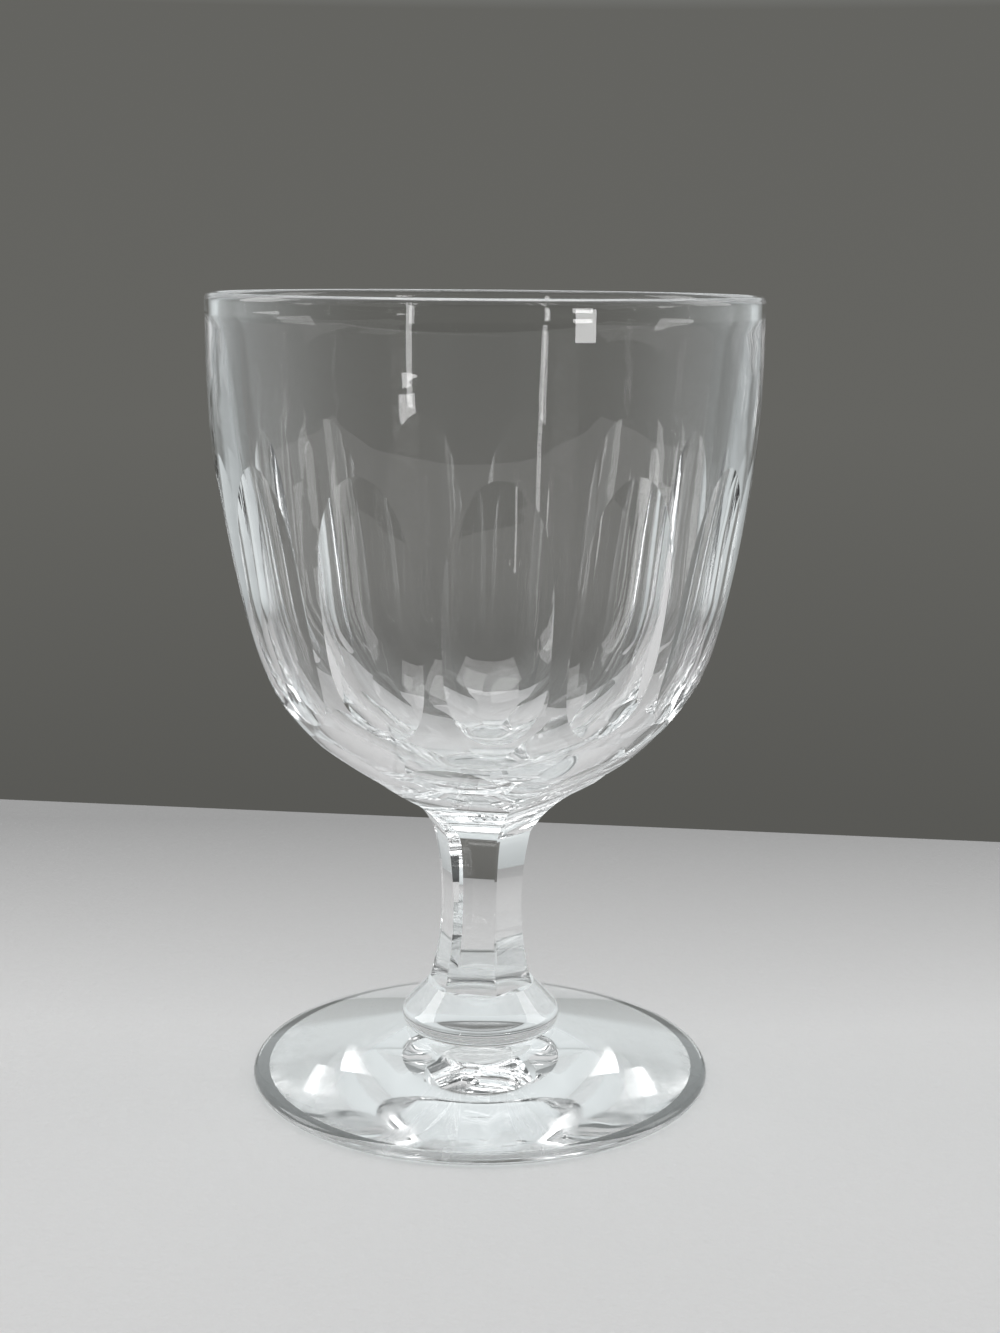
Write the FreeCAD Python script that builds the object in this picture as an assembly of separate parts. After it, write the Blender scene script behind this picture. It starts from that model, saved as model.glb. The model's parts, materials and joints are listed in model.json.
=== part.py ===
import FreeCAD, Part
import math
import os

# Rummer: a heavy drinking glass in one piece, slice-cut round the bowl and
# faceted on the stem. The origin is on the table under the middle of the foot,
# and +Z is up. Every size is in millimetres.

# Overall sizes
glass_height = 133.0
rim_radius = 45.0
foot_radius = 39.2

# Bowl, outside: upright under the rim, a long arc, then part of a ball
upright_depth = 7.0
ball_inset = 4.2
ball_height = 89.5
base_share = 0.846

# Bowl, inside: a tapering side, tangent to a round bottom
lip_thickness = 2.1
lip_bevel = 0.6
round_wall = 2.5
floor_thickness = 4.6

# Flutes: long hollow ovals ground round the bowl, from below the ball's middle
# upward. A flat slice of the given depth would be as wide as the hollow one.
flute_count = 13
flute_turn = 3.0
flute_start_share = 0.576
flute_length = 41.5
flute_flat_depth = 0.78
flute_foot_bluntness = 4.0
flute_top_bluntness = 2.3
flute_hollow_radius = 40.0
flute_steps = 8

# Stem and basal facets, measured from the axis to the middle of a flat. Heights
# are from the lowest point of the ball, and the flats run out at a turn below
# the level of its middle, in degrees.
facet_count = 6
facet_turn = 47.5
stem_foot_flat = 7.75
stem_waist_flat = 6.05
stem_waist_share = 0.574
stem_top_flat = 7.3
stem_top_drop = 5.2
neck_flat = 14.3
neck_rise = 2.4
neck_bow = 0.75
facet_end_turn = 47.7
facet_end_depth = 0.38
facet_land = 0.15
facet_run_out = 6.0

# Collar: the round disc between the stem and the foot
collar_radius = 13.5
collar_top = 16.5
collar_middle = 10.9
collar_bead_radius = 2.4

# Foot: a low cone, hollow underneath, with a ground mark in the middle
foot_centre_height = 9.0
foot_edge_height = 1.0
foot_edge_bevel = 0.6
foot_top_bevel = 1.1
foot_ring_width = 2.6
foot_hollow = 1.9
pontil_radius = 9.6
pontil_depth = 0.9

# Heights and radii that follow from the sizes above
side_top = glass_height - upright_depth
ball_radius = rim_radius - ball_inset
ball_bottom = ball_height - ball_radius
base_height = ball_height - base_share * ball_radius
flute_bottom = ball_height - flute_start_share * ball_radius
inside_bottom = ball_bottom + floor_thickness
inside_ball_radius = ball_radius - round_wall
stem_top_height = ball_bottom - stem_top_drop
stem_blank_radius = stem_foot_flat / math.cos(math.pi / facet_count) + facet_land


def point(radius, height):
    """A point of the section, in the plane of +X and Z."""
    return FreeCAD.Vector(radius, 0, height)


def line(start, end):
    return Part.LineSegment(start, end).toShape()


def bezier(*poles):
    curve = Part.BezierCurve()
    curve.setPoles(list(poles))
    return curve


def tangent_point(centre, radius, seen_from):
    """Where a line from a point outside a circle grazes its upper, outer side."""
    away = seen_from - centre
    turn = math.atan2(away.z, away.x) - math.acos(radius / math.hypot(away.x, away.z))
    return centre + point(math.cos(turn), math.sin(turn)) * radius


def side_arc():
    """Centre and radius of the long arc: upright at its top and tangent to the ball."""
    rise = side_top - ball_height
    radius = (rim_radius ** 2 + rise ** 2 - ball_radius ** 2) / (2 * (rim_radius - ball_radius))
    return point(rim_radius - radius, side_top), radius


def ball_joint():
    """The height at which the long arc runs into the ball."""
    toward = point(0, ball_height) - side_arc()[0]
    return ball_height + toward.normalize().z * ball_radius


def bowl_radius(height):
    """The bowl's outer radius at a height between its base and the top of the arc."""
    centre, radius = side_arc()
    if height < ball_joint():
        return math.sqrt(ball_radius ** 2 - (height - ball_height) ** 2)
    return centre.x + math.sqrt(radius ** 2 - (height - centre.z) ** 2)


def arc_between(top, bottom):
    """The outer curve of the bowl between two heights that share one arc."""
    heights = [top, (top + bottom) / 2, bottom]
    return Part.Arc(*[point(bowl_radius(height), height) for height in heights]).toShape()


def bowl_edges():
    """The bowl's outer side, from under the lip to the end of the round base."""
    under_lip = point(rim_radius, glass_height - lip_bevel)
    upright = line(under_lip, point(rim_radius, side_top))
    joint = ball_joint()
    return [upright, arc_between(side_top, joint), arc_between(joint, base_height)]


def lip_edges():
    """The polished rim: flat on top, with its two edges taken off."""
    outer = point(rim_radius, glass_height - lip_bevel)
    top_outer = point(rim_radius - lip_bevel, glass_height)
    inner = point(rim_radius - lip_thickness, glass_height - lip_bevel)
    top_inner = point(inner.x + lip_bevel, glass_height)
    return [line(outer, top_outer), line(top_outer, top_inner), line(top_inner, inner)], inner


def inside_edges(start):
    """The inside of the bowl, from the lip to the axis."""
    centre = point(0, inside_bottom + inside_ball_radius)
    joint = tangent_point(centre, inside_ball_radius, start)
    turn = math.atan2(joint.z - centre.z, joint.x) / 2 - math.pi / 4
    middle = centre + point(math.cos(turn), math.sin(turn)) * inside_ball_radius
    round_bottom = Part.Arc(joint, middle, point(0, inside_bottom))
    return [line(start, joint), round_bottom.toShape()]


def foot_edges(collar_foot):
    """The underside, the thin bevelled edge and the sloping top of the foot."""
    ring_outer = point(foot_radius - foot_edge_bevel, 0)
    ring_inner = point(ring_outer.x - foot_ring_width, 0)
    hollow_slope = foot_hollow / ring_inner.x
    pontil_edge = point(pontil_radius, foot_hollow - hollow_slope * pontil_radius)
    pontil_top = point(0, pontil_edge.z + pontil_depth)
    pontil_side = point(pontil_radius * 0.5, pontil_top.z)
    edge_low = point(foot_radius, foot_edge_bevel)
    edge_high = point(foot_radius, foot_edge_bevel + foot_edge_height)
    top = point(foot_radius - foot_top_bevel, edge_high.z + foot_top_bevel)
    return [
        bezier(pontil_top, pontil_side, pontil_edge).toShape(),
        line(pontil_edge, ring_inner),
        line(ring_inner, ring_outer),
        line(ring_outer, edge_low),
        line(edge_low, edge_high),
        line(edge_high, top),
        line(top, collar_foot),
    ], pontil_top


def collar_bead():
    """The centre of the collar's round side, and where that side meets the foot."""
    centre = point(collar_radius - collar_bead_radius, collar_middle)
    drop = collar_middle - foot_centre_height
    return centre, point(centre.x + math.sqrt(collar_bead_radius ** 2 - drop ** 2), foot_centre_height)


def collar_edges():
    """The collar's round side and the cone above it, up to the stem."""
    centre, collar_foot = collar_bead()
    seat = point(stem_blank_radius, collar_top)
    top = tangent_point(centre, collar_bead_radius, seat)
    side = Part.Arc(collar_foot, point(collar_radius, collar_middle), top)
    return [side.toShape(), line(top, seat)], seat


def stem_edges(seat):
    """The round stem under the cuts, and the cone that leads to the bowl."""
    neck = point(stem_blank_radius, stem_top_height - facet_land)
    return [line(seat, neck), line(neck, point(bowl_radius(base_height), base_height))]


def blank():
    """The glass as blown and pressed, before any cutting."""
    foot, pontil_top = foot_edges(collar_bead()[1])
    collar, seat = collar_edges()
    lip, below_lip = lip_edges()
    bowl = bowl_edges() + lip + inside_edges(below_lip)
    axis = line(point(0, inside_bottom), pontil_top)
    edges = foot + collar + stem_edges(seat) + bowl + [axis]
    section = Part.Face(Part.Wire(Part.__sortEdges__(edges)))
    return section.revolve(FreeCAD.Vector(0, 0, 0), FreeCAD.Vector(0, 0, 1), 360)


def set_round(block, turn, count):
    """Copies of a block at even turns about the axis, with the first as given from the front."""
    blocks = []
    for index in range(count):
        copy = block.copy()
        angle = turn - 90 + index * 360 / count
        copy.rotate(FreeCAD.Vector(0, 0, 0), FreeCAD.Vector(0, 0, 1), angle)
        blocks.append(copy)
    return blocks


def flute_face():
    """The line that a flute's middle follows: along the bowl's side, and into it between its ends."""
    stations = []
    for step in range(-1, flute_steps + 2):
        share = step / flute_steps
        height = flute_bottom + share * flute_length
        radius = bowl_radius(height)
        bluntness = flute_foot_bluntness if share < 0.5 else flute_top_bluntness
        flat_depth = flute_flat_depth * (1 - abs(2 * share - 1) ** bluntness)
        depth = flat_depth * (1 + radius / flute_hollow_radius)
        stations.append(point(radius - depth, height))
    face = Part.BSplineCurve()
    face.interpolate(stations)
    return face, stations[0], stations[-1]


def flute_blocks():
    """The hollow ovals, each cut by a wheel that turns on an upright axis beside the bowl."""
    face, low, high = flute_face()
    wheel_axis = point(rim_radius + flute_hollow_radius, 0)
    upper = point(wheel_axis.x, high.z)
    lower = point(wheel_axis.x, low.z)
    edges = [face.toShape(), line(high, upper), line(upper, lower), line(lower, low)]
    section = Part.Face(Part.Wire(Part.__sortEdges__(edges)))
    wheel = section.revolve(wheel_axis, FreeCAD.Vector(0, 0, 1), 360)
    return set_round(wheel, flute_turn, flute_count)


def facet_blocks():
    """The flats of the stem, which break at the neck and run out on the bowl's base."""
    foot = point(stem_foot_flat, collar_top)
    waist_height = collar_top + stem_waist_share * (stem_top_height - collar_top)
    waist = point(stem_waist_flat, waist_height)
    top = point(stem_top_flat, stem_top_height)
    neck = point(neck_flat, ball_bottom + neck_rise)
    end_turn = math.radians(facet_end_turn)
    end_radius = ball_radius - facet_end_depth
    end = point(0, ball_height) + point(math.cos(end_turn), -math.sin(end_turn)) * end_radius
    along = neck - top
    across = point(-along.z, along.x).normalize()
    bow = (top + neck) * 0.5 + across * neck_bow
    clear = end + (end - neck).normalize() * facet_run_out
    below = point(clear.x, collar_top)
    edges = [
        Part.Arc(foot, waist, top).toShape(),
        Part.Arc(top, bow, neck).toShape(),
        line(neck, clear),
        line(clear, below),
        line(below, foot),
    ]
    section = Part.Face(Part.Wire(Part.__sortEdges__(edges)))
    section.translate(FreeCAD.Vector(0, -rim_radius / 2, 0))
    block = section.extrude(FreeCAD.Vector(0, rim_radius, 0))
    return set_round(block, facet_turn, facet_count)


def rummer():
    glass = blank().cut(flute_blocks()).cut(facet_blocks())
    return glass.removeSplitter()


os.makedirs("parts", exist_ok=True)
shape = rummer()
shape.exportStep("parts/rummer.step")
box = shape.optimalBoundingBox()
print("solids", len(shape.Solids), "valid", shape.isValid(), "volume", round(shape.Volume))
print("box", [round(v, 3) for v in (box.XMin, box.YMin, box.ZMin, box.XMax, box.YMax, box.ZMax)])
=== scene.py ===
# %% [markdown]
# A rummer
#
# This is a heavy drinking glass in one piece. It was blown, its bowl was
# cut with thirteen long hollow ovals, and its stem was ground to six flats.
# Clear glass has no colour of its own to hide behind: everything that the eye
# reads in it is the room, bent and mirrored by its surfaces. So the work goes
# into true surfaces, a true wall and a quiet room with clear lights.

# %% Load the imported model
import json
import math

import bpy
from mathutils import Matrix, Vector

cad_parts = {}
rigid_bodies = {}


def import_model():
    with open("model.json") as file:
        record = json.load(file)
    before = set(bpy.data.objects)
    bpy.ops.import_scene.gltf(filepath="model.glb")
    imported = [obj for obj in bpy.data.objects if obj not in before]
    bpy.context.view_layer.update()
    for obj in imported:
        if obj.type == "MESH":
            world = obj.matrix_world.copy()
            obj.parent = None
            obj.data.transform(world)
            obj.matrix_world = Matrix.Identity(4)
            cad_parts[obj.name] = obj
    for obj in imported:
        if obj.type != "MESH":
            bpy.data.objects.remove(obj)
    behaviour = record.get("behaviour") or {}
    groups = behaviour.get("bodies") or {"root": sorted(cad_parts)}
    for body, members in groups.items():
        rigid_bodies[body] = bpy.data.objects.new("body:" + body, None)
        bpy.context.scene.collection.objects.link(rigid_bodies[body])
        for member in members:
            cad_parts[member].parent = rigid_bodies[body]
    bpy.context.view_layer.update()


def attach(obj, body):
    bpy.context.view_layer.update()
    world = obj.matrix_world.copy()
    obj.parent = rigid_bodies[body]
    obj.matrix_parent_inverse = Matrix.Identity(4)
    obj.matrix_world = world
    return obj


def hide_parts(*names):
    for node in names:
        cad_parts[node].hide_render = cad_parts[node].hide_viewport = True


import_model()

# %% [markdown]
# The section
#
# A blown glass is a turned form, so half of its section says all of it. It
# could be modelled from a cylinder, ring by ring, but then the wall between the
# inside and the outside is hard to keep true. So the section is listed as pairs
# of radius and height in millimetres, starting on the axis under the foot and
# ending on the axis inside the bowl. Arcs are listed point by point, closely
# enough that the light runs over them in one sweep.

# %% Helpers for the section
MM = 0.001


def even_shares(steps):
    """Shares from 0 to 1 in even steps."""
    return [i / steps for i in range(steps + 1)]


def arc(centre, radius, start, end, steps):
    """Points along an arc, from one angle to another in degrees."""
    turns = [math.radians(start + (end - start) * i / steps) for i in range(steps + 1)]
    return [(centre[0] + radius * math.cos(t), centre[1] + radius * math.sin(t)) for t in turns]


def on_circle(centre, radius, angle):
    """The point of a circle at an angle in degrees."""
    return arc(centre, radius, angle, angle, steps=1)[0]


def tangent_angle(centre, radius, seen_from):
    """The angle, in degrees, where a line from a point grazes a circle's upper, outer side."""
    away = (seen_from[0] - centre[0], seen_from[1] - centre[1])
    turn = math.atan2(away[1], away[0]) - math.acos(radius / math.hypot(*away))
    return math.degrees(turn)


def straight(start, end, steps):
    """Points between two points, without the first."""
    return [tuple(a + (b - a) * s for a, b in zip(start, end)) for s in even_shares(steps)[1:]]


print("a trial line of two steps:", straight((0, 0), (1, 3), steps=2))

# %% [markdown]
# The bowl's side
#
# The bowl is part of a ball below, and a long arc that grows upright above.
# A free curve could be fitted by eye, but the cuts need the same radius at the
# same height as the section does, so the side is two true arcs and one function.

# %% The bowl's outer curve
RIM_RADIUS = 45.0
BALL_RADIUS = 40.8
BALL_HEIGHT = 89.5
UPRIGHT_FROM = 126.0
BASE_HEIGHT = 55.0

rise = UPRIGHT_FROM - BALL_HEIGHT
side_radius = (RIM_RADIUS**2 + rise**2 - BALL_RADIUS**2) / (2 * (RIM_RADIUS - BALL_RADIUS))
side_centre = (RIM_RADIUS - side_radius, UPRIGHT_FROM)
joint_angle = math.degrees(math.atan2(BALL_HEIGHT - side_centre[1], -side_centre[0]))
joint_height = BALL_HEIGHT + BALL_RADIUS * math.sin(math.radians(joint_angle))


def bowl_radius(height):
    """The bowl's outer radius at a height between its base and its upright rim."""
    if height < joint_height:
        return math.sqrt(BALL_RADIUS**2 - (height - BALL_HEIGHT) ** 2)
    return side_centre[0] + math.sqrt(side_radius**2 - (height - side_centre[1]) ** 2)


print("side arc", round(side_radius, 1), "meets the ball at", round(joint_height, 1))

# %% [markdown]
# The foot and the collar
#
# The foot is a low cone with a thin round edge. It is a little hollow
# underneath, so it stands on a narrow ring, and in the middle is the round mark
# that is left where the rod was ground off. The collar is a disc with a round
# side. On the real glass they are fused, and a seam inside clear glass would
# show, so they are not pieces of their own but the start of the one section.

# %% The foot and the collar
FOOT_EDGE = (38.0, 1.2)
FOOT_EDGE_RADIUS = 1.2
RING_INNER = 36.0
HOLLOW_DEPTH = 1.9
PONTIL_RADIUS = 9.6
PONTIL_DEPTH = 0.9
PONTIL_STEPS = 10
COLLAR = (11.1, 10.9)
COLLAR_RADIUS = 2.4
COLLAR_FOOT_HEIGHT = 9.0
COLLAR_TOP = 16.5
STEM_BLANK = 9.1

collar_foot_angle = math.degrees(math.asin((COLLAR_FOOT_HEIGHT - COLLAR[1]) / COLLAR_RADIUS))
collar_foot = on_circle(COLLAR, COLLAR_RADIUS, collar_foot_angle)
foot_top_angle = tangent_angle(FOOT_EDGE, FOOT_EDGE_RADIUS, collar_foot)
seat = (STEM_BLANK, COLLAR_TOP)
collar_top_angle = tangent_angle(COLLAR, COLLAR_RADIUS, seat)

pontil_edge = (PONTIL_RADIUS, (RING_INNER - PONTIL_RADIUS) * HOLLOW_DEPTH / RING_INNER)
pontil = [
    (PONTIL_RADIUS * s, pontil_edge[1] + PONTIL_DEPTH * (1 - s * s))
    for s in even_shares(PONTIL_STEPS)
]
underside = pontil + straight(pontil_edge, (RING_INNER, 0.0), steps=14) + [(FOOT_EDGE[0], 0.0)]
foot_edge = arc(FOOT_EDGE, FOOT_EDGE_RADIUS, -90, foot_top_angle, steps=14)[1:]
foot_top = straight(foot_edge[-1], collar_foot, steps=16)
collar = arc(COLLAR, COLLAR_RADIUS, collar_foot_angle, collar_top_angle, steps=14)[1:]
collar += straight(collar[-1], seat, steps=4)
print("foot and collar:", len(underside + foot_edge + foot_top + collar), "points")

# %% [markdown]
# The stem, the lip and the inside
#
# The stem starts as a round blank, because the wheel can only take glass away.
# The lip was melted round in the fire and is a hair thicker than the wall below
# it. A Solidify modifier could give the bowl an even wall, but a real one is
# thick in the base and thin at the lip, so the inside is a curve of its own: a
# straight taper that runs into a round bottom.

# %% The stem's round blank, the bowl, the lip and the inside
NECK = (STEM_BLANK, 43.35)
LIP = (43.95, 131.95)
LIP_RADIUS = 1.05
BEAD_WIDTH = 0.05
BEAD_HEIGHT = 2.6
BEAD_STEPS = 8
INSIDE_RADIUS = 38.3
INSIDE_BOTTOM = 53.3
INSIDE = (0.0, INSIDE_BOTTOM + INSIDE_RADIUS)

blank_base = (bowl_radius(BASE_HEIGHT), BASE_HEIGHT)
stem = straight(seat, NECK, steps=10) + straight(NECK, blank_base, steps=8)
base_angle = math.degrees(math.asin((BASE_HEIGHT - BALL_HEIGHT) / BALL_RADIUS))
ball = arc((0, BALL_HEIGHT), BALL_RADIUS, base_angle, joint_angle, steps=34)[1:]
side = arc(side_centre, side_radius, joint_angle, 0, steps=40)[1:]
upright = straight(side[-1], (RIM_RADIUS, LIP[1]), steps=4)
lip = arc(LIP, LIP_RADIUS, 0, 180, steps=18)[1:]
lip_foot = lip[-1]
bead = [
    (lip_foot[0] + BEAD_WIDTH * s * s * (3 - 2 * s), lip_foot[1] - BEAD_HEIGHT * s)
    for s in even_shares(BEAD_STEPS)[1:]
]
inside_angle = tangent_angle(INSIDE, INSIDE_RADIUS, bead[-1])
inside = straight(bead[-1], on_circle(INSIDE, INSIDE_RADIUS, inside_angle), steps=24)
inside += arc(INSIDE, INSIDE_RADIUS, inside_angle, -90, steps=48)[1:]
section = underside + foot_edge + foot_top + collar + stem + ball + side + upright + lip + bead + inside
print("section:", len(section), "points")

# %% [markdown]
# Turning the blank
#
# A Screw modifier or a curve could turn the section too. Here it is drawn by
# extruding one vertex from point to point, and is then spun once round the
# axis, as on a lathe, because the same two steps make the flutes' cutting block
# later. The first and last points lie on the axis, so merging by distance
# closes the two poles.

# %% Draw a line of points
SEED_SIZE = 0.001


def start_at(place, name):
    """A new mesh that is one vertex, in edit mode."""
    bpy.ops.object.select_all(action="DESELECT")
    bpy.ops.mesh.primitive_plane_add(size=SEED_SIZE, location=(0, 0, 0))
    piece = bpy.context.object
    piece.name = piece.data.name = name
    bpy.ops.object.mode_set(mode="EDIT")
    bpy.ops.mesh.select_all(action="SELECT")
    bpy.ops.mesh.merge(type="CENTER")
    bpy.ops.transform.translate(value=place)
    return piece


def draw_section(points, name):
    """The points, joined by edges in the plane of X and Z, in edit mode and all selected."""
    places = [Vector((r, 0, z)) * MM for r, z in points]
    piece = start_at(places[0], name)
    for here, there in zip(places, places[1:]):
        bpy.ops.mesh.extrude_region_move(TRANSFORM_OT_translate={"value": there - here})
    bpy.ops.mesh.select_all(action="SELECT")
    return piece


glass = draw_section(section, "rummer_glass")
print("drawn:", glass.name, "in", bpy.context.mode)

# %% Spin the section and close the poles
STEPS_AROUND = 300
POLE_MERGE = 0.00001


def spin_about_origin(steps, angle, merge):
    """Spins what is selected about the upright axis and joins the ends that meet."""
    bpy.ops.mesh.spin(steps=steps, angle=angle, center=(0, 0, 0), axis=(0, 0, 1))
    bpy.ops.mesh.select_all(action="SELECT")
    bpy.ops.mesh.remove_doubles(threshold=merge)
    bpy.ops.mesh.normals_make_consistent(inside=False)


spin_about_origin(STEPS_AROUND, 2 * math.pi, POLE_MERGE)
bpy.ops.object.mode_set(mode="OBJECT")
print("blank:", len(glass.data.polygons), "faces, size", [round(v, 4) for v in glass.dimensions])

# %% [markdown]
# Two finishes of the same glass
#
# The blown surface was shaped hot, so it has slow, level ripples that break a
# long reflection. The cut surface was ground and polished, so its ripples run
# up and down with the wheel. Both are too low to see except in a reflection, so
# a bump does for them what moved points could do only on a far finer mesh.
# The foot's ring has been set down for a century and a half, so there the
# polish has gone in patches.

# %% A ripple in the surface
def ripple(nodes, links, stretch, fineness, height):
    """A bump of slow noise, stretched along x, y and z as given."""
    place = nodes.new("ShaderNodeTexCoord")
    stretched = nodes.new("ShaderNodeMapping")
    stretched.inputs["Scale"].default_value = stretch
    noise = nodes.new("ShaderNodeTexNoise")
    noise.inputs["Scale"].default_value = fineness
    noise.inputs["Detail"].default_value = 1.0
    bump = nodes.new("ShaderNodeBump")
    bump.inputs["Strength"].default_value = 1.0
    bump.inputs["Distance"].default_value = height
    links.new(place.outputs["Object"], stretched.inputs["Vector"])
    links.new(stretched.outputs["Vector"], noise.inputs["Vector"])
    links.new(noise.outputs["Fac"], bump.inputs["Height"])
    return bump.outputs["Normal"]


BLOWN_RIPPLE = {"stretch": (1.0, 1.0, 4.0), "fineness": 40.0, "height": 0.00006}
CUT_RIPPLE = {"stretch": (3.0, 3.0, 1.0), "fineness": 60.0, "height": 0.00003}
print("ripples, in mm:", [round(kind["height"] / MM, 3) for kind in (BLOWN_RIPPLE, CUT_RIPPLE)])

# %% The worn ring
WEAR_TOP = 0.0007
WEAR_ROUGHNESS = 0.3
WEAR_FINENESS = 240.0
WEAR_DETAIL = 4.0
WEAR_FROM = 0.4
WEAR_FULL = 0.65


def ranged(nodes, links, value, low, high, top=1.0):
    """A value that goes from 0 to the top while the given one goes from low to high."""
    share = nodes.new("ShaderNodeMapRange")
    share.inputs["From Min"].default_value = low
    share.inputs["From Max"].default_value = high
    share.inputs["To Max"].default_value = top
    links.new(value, share.inputs["Value"])
    return share.outputs["Result"]


def ring_wear(nodes, links):
    """Roughness in patches on whatever lies near the table's height, and none above."""
    place = nodes.new("ShaderNodeTexCoord")
    split = nodes.new("ShaderNodeSeparateXYZ")
    patches = nodes.new("ShaderNodeTexNoise")
    patches.inputs["Scale"].default_value = WEAR_FINENESS
    patches.inputs["Detail"].default_value = WEAR_DETAIL
    share = nodes.new("ShaderNodeMath")
    share.operation = "MULTIPLY"
    links.new(place.outputs["Object"], split.inputs["Vector"])
    links.new(place.outputs["Object"], patches.inputs["Vector"])
    low = ranged(nodes, links, split.outputs["Z"], WEAR_TOP, 0.0)
    worn = ranged(nodes, links, patches.outputs["Fac"], WEAR_FROM, WEAR_FULL, top=WEAR_ROUGHNESS)
    links.new(low, share.inputs[0])
    links.new(worn, share.inputs[1])
    return share.outputs["Value"]


print("wear reaches up to", WEAR_TOP / MM, "mm")

# %% The glass itself
LEAD_GLASS_IOR = 1.54
SHADOW_TINT = (0.86, 0.88, 0.88, 1.0)


def shader_mix(nodes, links, share, first, second):
    """A shader that goes from the first to the second as the share goes from 0 to 1."""
    mix = nodes.new("ShaderNodeMixShader")
    links.new(share, mix.inputs["Fac"])
    links.new(first, mix.inputs[1])
    links.new(second, mix.inputs[2])
    return mix.outputs["Shader"]


def clear_glass(name, ripples):
    """Lead glass with ripples, which lets the lamps through to what it stands on."""
    material = bpy.data.materials.new(name)
    material.use_nodes = True
    nodes = material.node_tree.nodes
    links = material.node_tree.links
    shader = nodes["Principled BSDF"]
    shader.inputs["Base Color"].default_value = (1.0, 1.0, 1.0, 1.0)
    shader.inputs["Transmission Weight"].default_value = 1.0
    shader.inputs["IOR"].default_value = LEAD_GLASS_IOR
    links.new(ripple(nodes, links, **ripples), shader.inputs["Normal"])
    links.new(ring_wear(nodes, links), shader.inputs["Roughness"])
    clear = nodes.new("ShaderNodeBsdfTransparent")
    clear.inputs["Color"].default_value = SHADOW_TINT
    shadow = nodes.new("ShaderNodeLightPath").outputs["Is Shadow Ray"]
    surface = shader_mix(nodes, links, shadow, shader.outputs["BSDF"], clear.outputs["BSDF"])
    links.new(surface, nodes["Material Output"].inputs["Surface"])
    return material


blown_glass = clear_glass("blown_glass", BLOWN_RIPPLE)
cut_glass = clear_glass("cut_glass", CUT_RIPPLE)
glass.data.materials.append(blown_glass)
glass.data.materials.append(cut_glass)
CUT_SLOT = glass.data.materials.find("cut_glass")
print("finishes:", [m.name for m in glass.data.materials], "the cut one is in slot", CUT_SLOT)

# %% [markdown]
# Cutting
#
# A cutter holds the glass to a wheel, and the wheel takes away what it reaches.
# The cuts could be dented into the mesh by moving its points, but then their
# edges would be soft. So each cut is made here as the block that it removes.
# The block brings the cut finish with it, so the Boolean leaves the two
# finishes where the wheel left them. A block is modelled once and copied round
# the axis.

# %% Select a piece, and draw a block's face
def select_only(piece):
    """Selects one piece alone and makes it the active one."""
    bpy.ops.object.select_all(action="DESELECT")
    piece.select_set(True)
    bpy.context.view_layer.objects.active = piece


def draw_face(points, name):
    """A closed flat face through the points, in edit mode and selected."""
    piece = draw_section(points, name)
    bpy.ops.mesh.edge_face_add()
    return piece


select_only(glass)
print("selected:", [piece.name for piece in bpy.context.selected_objects])

# %% Copy a block round the axis, and cut
def turned_copies(piece, turns):
    """Copies of a block at several turns about the axis, in degrees, joined in one."""
    copies = []
    for turn in turns:
        select_only(piece)
        bpy.ops.object.duplicate(linked=False)
        copy = bpy.context.object
        copy.rotation_euler = (0, 0, math.radians(turn))
        bpy.ops.object.transform_apply(location=False, rotation=True, scale=False)
        copies.append(copy)
    select_only(copies[0])
    for copy in copies:
        copy.select_set(True)
    bpy.ops.object.join()
    return copies[0]


def cut(piece, cutter):
    """Takes the cutter's volume off the piece."""
    modifier = piece.modifiers.new("cut", "BOOLEAN")
    modifier.operation = "DIFFERENCE"
    modifier.solver = "EXACT"
    modifier.material_mode = "TRANSFER"
    modifier.object = cutter
    select_only(piece)
    bpy.ops.object.modifier_apply(modifier=modifier.name)
    bpy.data.objects.remove(cutter)


print("to be cut:", glass.name, len(glass.data.polygons), "faces")

# %% [markdown]
# The flutes
#
# Each of the thirteen ovals is hollow across, as the wheel's round rim leaves
# it, and follows the bowl's side from end to end. It is deepest in the middle
# and comes out at both ends. A straight cylinder would bite too deep in the
# middle and miss the ends, so the block is the wheel's own: a line that dips
# under the bowl's side is spun about an upright axis beside the bowl. Only the
# part of the wheel that touches the glass is made.

# %% The line down a flute's middle
FLUTES = 13
FLUTE_TURN = 3.0
FLUTE_BOTTOM = 66.0
FLUTE_LENGTH = 41.5
FLUTE_FLAT_DEPTH = 0.78
FLUTE_FOOT_BLUNTNESS = 4.0
FLUTE_TOP_BLUNTNESS = 2.3
FLUTE_HOLLOW = 40.0
FLUTE_ROWS = 52

# The line starts a little below the flute and ends above it, so its start and
# its span are shares of the flute's length.
FLUTE_START = -0.12
FLUTE_SPAN = 1.24


def flute_point(share):
    """A point of the line down a flute's middle, a share of the way up from its lower end."""
    bluntness = FLUTE_FOOT_BLUNTNESS if share < 0.5 else FLUTE_TOP_BLUNTNESS
    flat_depth = FLUTE_FLAT_DEPTH * (1 - abs(2 * share - 1) ** bluntness)
    height = FLUTE_BOTTOM + share * FLUTE_LENGTH
    radius = bowl_radius(height)
    return radius - flat_depth * (1 + radius / FLUTE_HOLLOW), height


flute_line = [flute_point(FLUTE_START + FLUTE_SPAN * i / FLUTE_ROWS) for i in range(FLUTE_ROWS + 1)]
wheel_axis = RIM_RADIUS + FLUTE_HOLLOW
wheel_section = flute_line + [(wheel_axis, flute_line[-1][1]), (wheel_axis, flute_line[0][1])]
print("flute line:", len(flute_line), "points, wheel axis at", wheel_axis)

# %% The wheel's block
FLUTE_COLUMNS = 24
FLUTE_HALF_ANGLE = 15.0
BLOCK_MERGE = 0.000001

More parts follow.
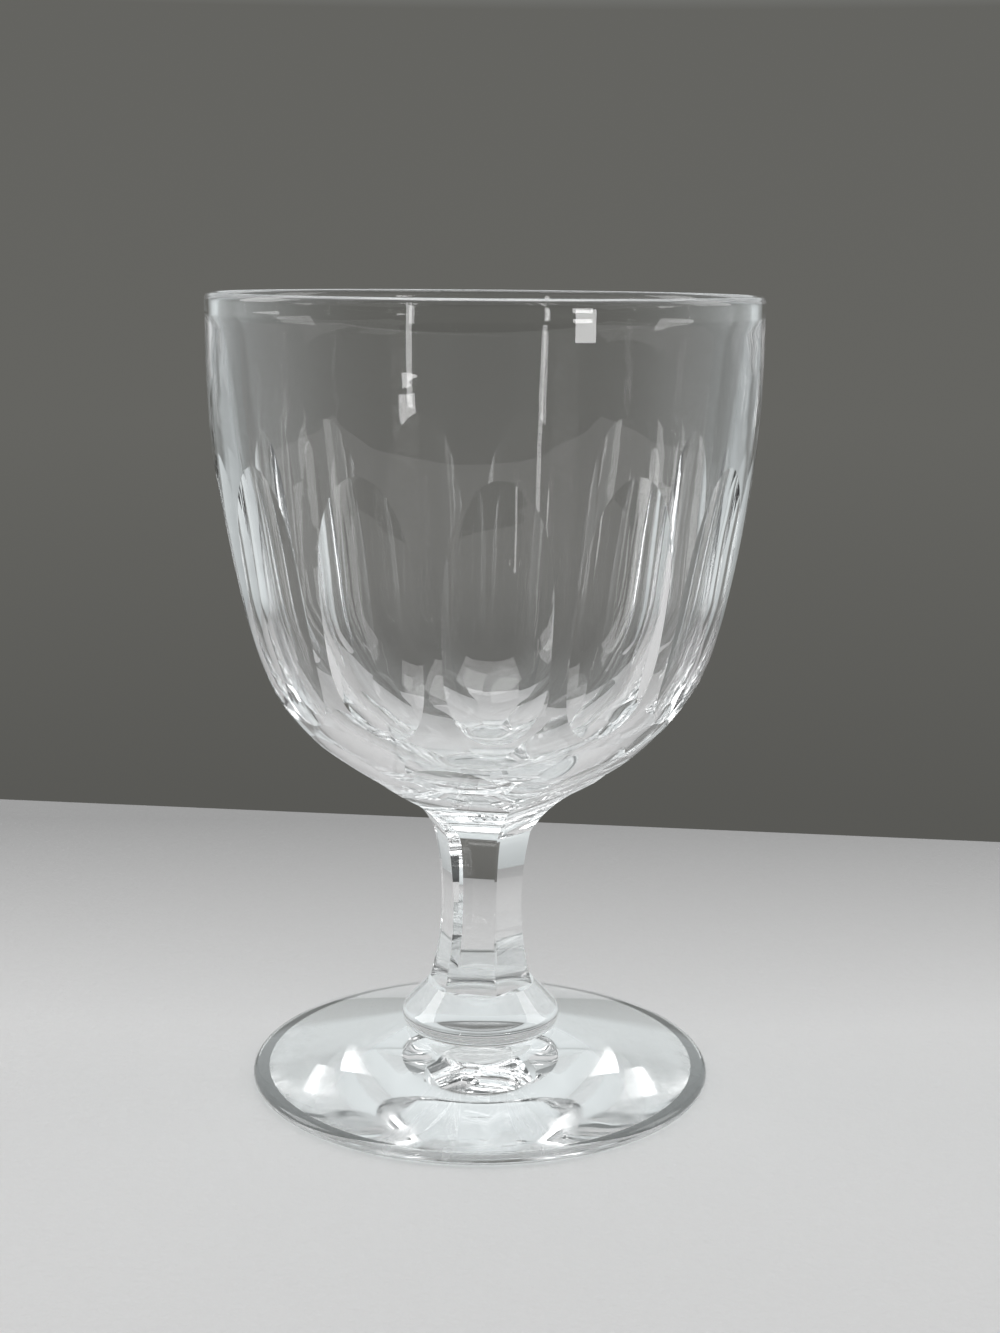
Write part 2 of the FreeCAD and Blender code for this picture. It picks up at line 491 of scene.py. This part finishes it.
flute = draw_face(wheel_section, "flute_block")
bpy.ops.transform.translate(value=(-wheel_axis * MM, 0, 0))
half_angle = math.radians(FLUTE_HALF_ANGLE)
bpy.ops.transform.rotate(value=-half_angle, orient_axis="Z", center_override=(0, 0, 0))
spin_about_origin(FLUTE_COLUMNS, 2 * half_angle, BLOCK_MERGE)
bpy.ops.transform.translate(value=(wheel_axis * MM, 0, 0))
bpy.ops.object.mode_set(mode="OBJECT")
flute.data.materials.append(cut_glass)
across_flute = [v.co.y for v in flute.data.vertices]
print("wheel from y", round(min(across_flute), 4), "to", round(max(across_flute), 4))

# %% Cut the thirteen long ovals
flute_turns = [FLUTE_TURN - 90 + 360 / FLUTES * i for i in range(FLUTES)]

# Neighbouring blocks overlap outside the bowl, so they are cut in three sets
# in which no two blocks touch: every other one, the ones between, and the last.
for turns in (flute_turns[0:-1:2], flute_turns[1::2], flute_turns[-1:]):
    cut(glass, turned_copies(flute, turns))
bpy.data.objects.remove(flute)
print("after the flutes:", len(glass.data.polygons), "faces")

# %% [markdown]
# The stem's flats
#
# The six flats are hollow along the stem, break over a short bow at its neck
# and run out as points on the bowl's base. A stem with six sides could be
# built from the start, but its flats have to end in the round of the base and
# of the collar, as a cut does. So each is the block outside one flat: a face
# drawn up the flat, closed below the bowl, and extruded sideways.

# %% The line up a flat
FACETS = 6
FACET_TURN = 47.5
STEM_FOOT = (7.75, COLLAR_TOP)
STEM_WAIST = (6.05, 32.0)
STEM_TOP = (7.3, 43.5)
FACET_NECK = (14.3, 51.1)
NECK_BOW = 0.75
FACET_END = (27.2, 59.6)
FACET_RUN_OUT = 6.0


def arc_through(start, middle, end, steps):
    """Points of the arc through three points."""
    (ax, ay), (bx, by), (cx, cy) = start, middle, end
    d = 2 * (ax * (by - cy) + bx * (cy - ay) + cx * (ay - by))
    a2, b2, c2 = ax**2 + ay**2, bx**2 + by**2, cx**2 + cy**2
    ux = (a2 * (by - cy) + b2 * (cy - ay) + c2 * (ay - by)) / d
    uy = (a2 * (cx - bx) + b2 * (ax - cx) + c2 * (bx - ax)) / d
    first = math.degrees(math.atan2(ay - uy, ax - ux))
    last = math.degrees(math.atan2(cy - uy, cx - ux))
    last = first + (last - first + 180) % 360 - 180
    return arc((ux, uy), math.hypot(ax - ux, ay - uy), first, last, steps)


along = Vector((FACET_NECK[0] - STEM_TOP[0], FACET_NECK[1] - STEM_TOP[1]))
across = Vector((-along.y, along.x)).normalized()
bow = (Vector(STEM_TOP) + Vector(FACET_NECK)) / 2 + across * NECK_BOW
run_out = (Vector(FACET_END) - Vector(FACET_NECK)).normalized() * FACET_RUN_OUT
clear_end = tuple(Vector(FACET_END) + run_out)
facet_line = arc_through(STEM_FOOT, STEM_WAIST, STEM_TOP, steps=24)
facet_line += arc_through(STEM_TOP, tuple(bow), FACET_NECK, steps=8)[1:]
facet_line += straight(FACET_NECK, clear_end, steps=2)
print("line up a flat:", len(facet_line), "points")

# %% The block outside one flat
FACET_BLOCK_WIDTH = 45.0

facet = draw_face(facet_line + [(clear_end[0], COLLAR_TOP)], "facet_block")
bpy.ops.transform.translate(value=(0, -FACET_BLOCK_WIDTH / 2 * MM, 0))
bpy.ops.mesh.extrude_region_move(TRANSFORM_OT_translate={"value": (0, FACET_BLOCK_WIDTH * MM, 0)})
bpy.ops.mesh.select_all(action="SELECT")
bpy.ops.mesh.normals_make_consistent(inside=False)
bpy.ops.object.mode_set(mode="OBJECT")
facet.data.materials.append(cut_glass)
print("block size:", [round(v, 4) for v in facet.dimensions])

# %% Cut the six flats, each one and then the one opposite
facet_turns = [FACET_TURN - 90 + 360 / FACETS * i for i in range(FACETS)]
for turn in facet_turns[0::3] + facet_turns[1::3] + facet_turns[2::3]:
    cut(glass, turned_copies(facet, [turn]))
bpy.data.objects.remove(facet)
print("after the flats:", len(glass.data.polygons), "faces")

# %% [markdown]
# Keeping the arrises
#
# Smooth shading would blur the edges that the wheel left. Smoothing by angle
# alone would lose a flute's edge, which is almost flat near its ends. So every
# edge between the two finishes is marked sharp, and so are the corners between
# the flats and the creases of the section. A flute's edge fades at its ends by
# itself, because the two surfaces become one.

# %% Smooth the faces and mark the sharp edges
SHARP_ANGLE = 24

select_only(glass)
bpy.ops.object.shade_smooth()
bpy.ops.object.mode_set(mode="EDIT")
bpy.ops.mesh.select_mode(type="EDGE")
bpy.ops.mesh.select_all(action="DESELECT")
bpy.ops.mesh.edges_select_sharp(sharpness=math.radians(SHARP_ANGLE))
bpy.ops.mesh.mark_sharp()
bpy.ops.mesh.select_mode(type="FACE")
bpy.ops.mesh.select_all(action="DESELECT")
glass.active_material_index = CUT_SLOT
bpy.ops.object.material_slot_select()
bpy.ops.mesh.region_to_loop()
bpy.ops.mesh.mark_sharp()
bpy.ops.object.mode_set(mode="OBJECT")
sharp_edges = sum(edge.use_edge_sharp for edge in glass.data.edges)
triangles = sum(len(p.vertices) - 2 for p in glass.data.polygons)
print("sharp edges:", sharp_edges, "triangles:", triangles)

# %% Tell the frame what the glass is
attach(glass, "root")
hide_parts("rummer")
print("rides the root body:", glass.name)

# %% [markdown]
# The table
#
# The glass stands on a matt, pale cloth, and its weave is only just to be seen.
# Shade is painted on it: it is bright round the glass and painted dark towards
# the back. A picture of cloth could be laid on it, but glass bends and enlarges
# what is under it, so the painted shade and the weave are made in the material,
# where they are sharp at any size.

# %% The table's slab
TABLE_BACK = 0.157
TABLE_WIDTH = 1.2
TABLE_DEPTH = 0.6
TABLE_THICKNESS = 0.02
TABLE_TURN = -7.6

bpy.ops.object.select_all(action="DESELECT")
bpy.ops.mesh.primitive_cube_add(size=1, location=(0, 0, 0))
table = bpy.context.object
table.name = "table"
table.scale = (TABLE_WIDTH, TABLE_DEPTH, TABLE_THICKNESS)
table.location = (0, TABLE_BACK - TABLE_DEPTH / 2, -TABLE_THICKNESS / 2)
bpy.ops.object.transform_apply(location=True, rotation=False, scale=True)
table.rotation_euler = (0, 0, math.radians(TABLE_TURN))
bpy.ops.object.transform_apply(location=False, rotation=True, scale=False)
print("table:", [round(v, 3) for v in table.dimensions])

# %% Ramps of colour
WHITE = (1, 1, 1)
# Painted shade: the cloth is painted 0.68 bright near the glass and 0.36 at the back.
CLOTH_PAINTED_SHADE_STOPS = [(0.0, 0.68), (1.0, 0.36)]


def tinted(stops, tint):
    """Stops of a ramp, from pairs of place and brightness, in one tint."""
    return [(place, tuple(value * part for part in tint) + (1,)) for place, value in stops]


def ramp_of(nodes, links, value, stops):
    """The colour that a value picks from a ramp through the given stops."""
    ramp = nodes.new("ShaderNodeValToRGB")
    elements = ramp.color_ramp.elements
    while len(elements) < len(stops):
        elements.new(0.5)
    for element, (place, colour) in zip(elements, stops):
        element.position = place
        element.color = colour
    links.new(value, ramp.inputs["Fac"])
    return ramp.outputs["Color"]


# The fade is painted shade.
print("the cloth fades through", tinted(CLOTH_PAINTED_SHADE_STOPS, WHITE))

# %% The table's cloth, with painted shade
CLOTH_ROUGHNESS = 0.9
CLOTH_SPECULAR = 0.1
PAINTED_SHADE_FROM = 0.02
WEAVE_FINENESS = 700.0
WEAVE_DETAIL = 3.0
WEAVE_STRENGTH = 0.6
WEAVE_HEIGHT = 0.0004


def cloth_with_painted_shade():
    """A matt grey cloth with painted shade: palest round the glass, painted darker towards the back."""
    material = bpy.data.materials.new("cloth_with_painted_shade")
    material.use_nodes = True
    nodes = material.node_tree.nodes
    links = material.node_tree.links
    shader = nodes["Principled BSDF"]
    shader.inputs["Roughness"].default_value = CLOTH_ROUGHNESS
    shader.inputs["Specular IOR Level"].default_value = CLOTH_SPECULAR
    place = nodes.new("ShaderNodeTexCoord")
    split = nodes.new("ShaderNodeSeparateXYZ")
    weave = nodes.new("ShaderNodeTexNoise")
    weave.inputs["Scale"].default_value = WEAVE_FINENESS
    weave.inputs["Detail"].default_value = WEAVE_DETAIL
    lift = nodes.new("ShaderNodeBump")
    lift.inputs["Strength"].default_value = WEAVE_STRENGTH
    lift.inputs["Distance"].default_value = WEAVE_HEIGHT
    links.new(place.outputs["Object"], split.inputs["Vector"])
    links.new(place.outputs["Object"], weave.inputs["Vector"])
    links.new(weave.outputs["Fac"], lift.inputs["Height"])
    links.new(lift.outputs["Normal"], shader.inputs["Normal"])
    # Painted shade: the cloth is painted darker from just in front of the glass to the table's back
    # edge.
    share = ranged(nodes, links, split.outputs["Y"], PAINTED_SHADE_FROM, TABLE_BACK)
    colour = ramp_of(nodes, links, share, tinted(CLOTH_PAINTED_SHADE_STOPS, WHITE))
    links.new(colour, shader.inputs["Base Color"])
    return material


table.data.materials.append(cloth_with_painted_shade())
print("cloth:", table.data.materials[0].name)

# %% [markdown]
# The room
#
# Behind the glass is a dark screen, only a little wider than the view. Beside it
# and above it the room is bright, and that is what lights up the rims of the
# flutes and the thick base. Walls round the glass could be modelled, but they
# would shade it from the lamps. So the room is painted on the world, and only
# what the camera, a mirror or the glass looks at is the painted room. All else
# gets plain white light.

# %% Which way a look into the room goes
def look_direction(nodes, links):
    """The height of a look, from 0 down to 1 up, and its turn from the screen's middle."""
    place = nodes.new("ShaderNodeTexCoord")
    split = nodes.new("ShaderNodeSeparateXYZ")
    aside = nodes.new("ShaderNodeMath")
    aside.operation = "ABSOLUTE"
    turned = nodes.new("ShaderNodeMath")
    turned.operation = "ARCTAN2"
    links.new(place.outputs["Generated"], split.inputs["Vector"])
    links.new(split.outputs["X"], aside.inputs[0])
    links.new(aside.outputs["Value"], turned.inputs[0])
    links.new(split.outputs["Y"], turned.inputs[1])
    height = ranged(nodes, links, split.outputs["Z"], -1, 1)
    return height, turned.outputs["Value"]


def seen_share(nodes, links):
    """1 for a ray from the camera, a mirror or the glass, and 0 for any other."""
    path = nodes.new("ShaderNodeLightPath")
    either = nodes.new("ShaderNodeMath")
    all_seen = nodes.new("ShaderNodeMath")
    all_seen.use_clamp = True
    links.new(path.outputs["Is Camera Ray"], either.inputs[0])
    links.new(path.outputs["Is Glossy Ray"], either.inputs[1])
    links.new(either.outputs["Value"], all_seen.inputs[0])
    links.new(path.outputs["Is Transmission Ray"], all_seen.inputs[1])
    return all_seen.outputs["Value"]


world = bpy.data.worlds.new("room")
bpy.context.scene.world = world
world.use_nodes = True
print("world:", world.name)

# %% The colours of the screen and of the room round it
SCREEN_EDGE = 26.0
SCREEN_BLUR = 5.0
WARM = (1.0, 0.995, 0.92)
COOL = (0.93, 0.99, 1.0)
SCREEN_STOPS = [(0.0, 0.04), (0.37, 0.1), (0.46, 0.13), (0.56, 0.128)]
ABOVE_STOPS = [(0.59, 0.7), (0.76, 0.85), (1.0, 1.0)]
ROOM_STOPS = [(0.0, 0.3), (0.4, 0.5), (0.5, 0.8), (0.7, 0.9), (1.0, 1.0)]
TURN_STOPS = [(0.0, 1.0), (0.4, 0.8), (0.55, 0.35), (0.7, 0.08), (1.0, 0.06)]

# A Mix node has a pair of sockets for each kind of value, and the names repeat,
# so the ones for colours are reached by their numbers.
FIRST_COLOUR = 6
SECOND_COLOUR = 7
MIXED_COLOUR = 2


def colour_mix(nodes, links, first, second):
    """A node that mixes two colours."""
    mix = nodes.new("ShaderNodeMix")
    mix.data_type = "RGBA"
    links.new(first, mix.inputs[FIRST_COLOUR])
    links.new(second, mix.inputs[SECOND_COLOUR])
    return mix


def room_colour(nodes, links):
    """The screen ahead, with light above it, and the room beside it, darker towards the back."""
    height, turned = look_direction(nodes, links)
    screen = ramp_of(nodes, links, height, tinted(SCREEN_STOPS, WARM) + tinted(ABOVE_STOPS, COOL))
    room = ramp_of(nodes, links, height, tinted(ROOM_STOPS, COOL))
    half_turn = ranged(nodes, links, turned, 0, math.pi)
    fading = ramp_of(nodes, links, half_turn, tinted(TURN_STOPS, WHITE))
    dimmed = colour_mix(nodes, links, room, fading)
    dimmed.blend_type = "MULTIPLY"
    dimmed.inputs["Factor"].default_value = 1.0
    both = colour_mix(nodes, links, screen, dimmed.outputs[MIXED_COLOUR])
    edge = math.radians(SCREEN_EDGE)
    beside = ranged(nodes, links, turned, edge, math.radians(SCREEN_EDGE + SCREEN_BLUR))
    links.new(beside, both.inputs["Factor"])
    return both.outputs[MIXED_COLOUR]


print("the screen reaches", SCREEN_EDGE, "degrees to each side")

# %% Paint the room on the world
PLAIN_LIGHT = 0.55

world_nodes = world.node_tree.nodes
world_links = world.node_tree.links
plain = world_nodes["Background"]
plain.inputs["Color"].default_value = (1, 1, 1, 1)
plain.inputs["Strength"].default_value = PLAIN_LIGHT
seen = world_nodes.new("ShaderNodeBackground")
seen.inputs["Strength"].default_value = 1.0
world_links.new(room_colour(world_nodes, world_links), seen.inputs["Color"])
world_light = shader_mix(
    world_nodes,
    world_links,
    seen_share(world_nodes, world_links),
    plain.outputs["Background"],
    seen.outputs["Background"],
)
world_links.new(world_light, world_nodes["World Output"].inputs["Surface"])
print("world nodes:", len(world_nodes))

# %% [markdown]
# The lamps
#
# A soft light above and one on each side light the table and draw the glass's
# outline. Two small ones in front are there for their reflections: a tall
# streak and a small square on the upper bowl. A point lamp would show as a dot
# and throw hard shadows, so each is a rectangle with a real size, and its power
# follows from how bright it has to look.

# %% The lamps
MIDDLE = (0, 0, 0.07)


def soft_box(name, place, width, height, radiance):
    """A rectangular lamp that faces the glass, as bright as given to the eye."""
    data = bpy.data.lights.new(name, "AREA")
    data.shape = "RECTANGLE"
    data.size = width
    data.size_y = height
    data.energy = radiance * math.pi * width * height
    lamp = bpy.data.objects.new(name, data)
    bpy.context.scene.collection.objects.link(lamp)
    lamp.location = place
    lamp.rotation_euler = (Vector(MIDDLE) - Vector(place)).to_track_quat("-Z", "Y").to_euler()
    lamp.visible_camera = False
    return lamp


soft_box("overhead", (0.0, 0.1, 0.95), width=0.7, height=0.5, radiance=2.2)
soft_box("left_window", (-0.75, 0.15, 0.4), width=0.35, height=0.5, radiance=3.0)
soft_box("right_window", (0.75, 0.15, 0.4), width=0.35, height=0.5, radiance=2.0)
soft_box("tall_window", (-0.5, -0.9, 0.13), width=0.04, height=0.34, radiance=6.0)
soft_box("low_window", (0.64, -0.8, 0.13), width=0.15, height=0.08, radiance=9.0)

# %% [markdown]
# The camera
#
# The camera looks slightly down on the glass from a third of a metre away, near
# enough that the rim and the foot are ellipses of different flatness. A
# constraint could aim it, but it also leans by half a degree, so its three
# directions are worked out and set as a matrix.

# %% The camera
BACK = 0.3284
UP = 0.1381
PITCH = math.radians(11.45)
YAW = math.radians(0.497)
ROLL = math.radians(0.5)
LENS = 54.04
SENSOR_WIDTH = 36.0
NEAREST = 0.01

forward = Vector((math.sin(YAW) * math.cos(PITCH), math.cos(YAW) * math.cos(PITCH), -math.sin(PITCH)))
level = Vector((math.cos(YAW), -math.sin(YAW), 0))
above = level.cross(forward)
right = level * math.cos(ROLL) + above * math.sin(ROLL)
upward = above * math.cos(ROLL) - level * math.sin(ROLL)
camera_data = bpy.data.cameras.new("camera")
camera_data.lens = LENS
camera_data.sensor_width = SENSOR_WIDTH
camera_data.clip_start = NEAREST
camera = bpy.data.objects.new("camera", camera_data)
bpy.context.scene.collection.objects.link(camera)
camera_turn = Matrix((right, upward, -forward)).transposed()
camera.matrix_world = Matrix.Translation((0, -BACK, UP)) @ camera_turn.to_4x4()
bpy.context.scene.camera = camera
bpy.context.scene.view_settings.view_transform = "Standard"
print("camera:", [round(v, 4) for v in camera.location])

# %% [markdown]
# Light in thick glass
#
# Light that is caught in thick glass is mirrored many times before it gets out.
# A renderer gives up after a few turns, and then the foot and the base go
# black. A bright base could be faked in the material, but it would not change
# with the room as real glass does, so the light is followed for longer.

# %% Follow the light
LIGHT_TURNS = 32

paths = bpy.context.scene.cycles
paths.max_bounces = LIGHT_TURNS
paths.glossy_bounces = LIGHT_TURNS
paths.transmission_bounces = LIGHT_TURNS
print("light turns:", LIGHT_TURNS)
